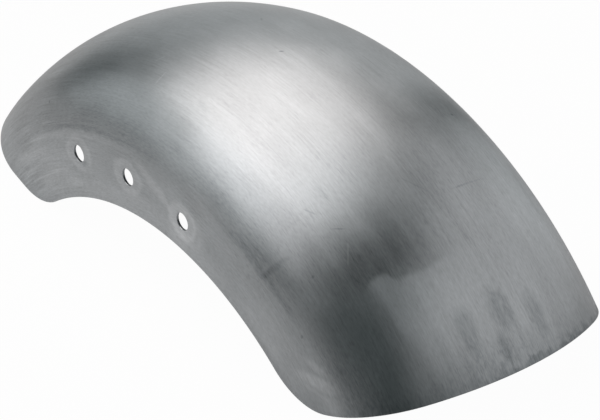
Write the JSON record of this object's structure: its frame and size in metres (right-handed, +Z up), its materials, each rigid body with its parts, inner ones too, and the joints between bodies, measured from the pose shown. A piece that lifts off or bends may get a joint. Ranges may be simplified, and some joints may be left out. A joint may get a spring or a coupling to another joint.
{
  "type": "motorcycle rear fender",
  "caption": "Bare pressed steel rear fender: an arched shell with a rounded crown, flat side skirts and strut bolt holes near its front.",
  "frame": {"origin": "centre of the bounding box's bottom: midway between the skirts and between the two ends, on the level that the four lower corners stand on", "axes": "+X towards the rear end, +Y towards the right-hand skirt, +Z up from the bench the fender stands on; the wheel axle is parallel to Y"},
  "size_m": [0.5231, 0.214, 0.1601],
  "materials": {
    "fender": "bare brushed steel, grain along the fender's length"
  },
  "bodies": {
    "root": {"fender": "fender"}
  },
  "joints": []
}
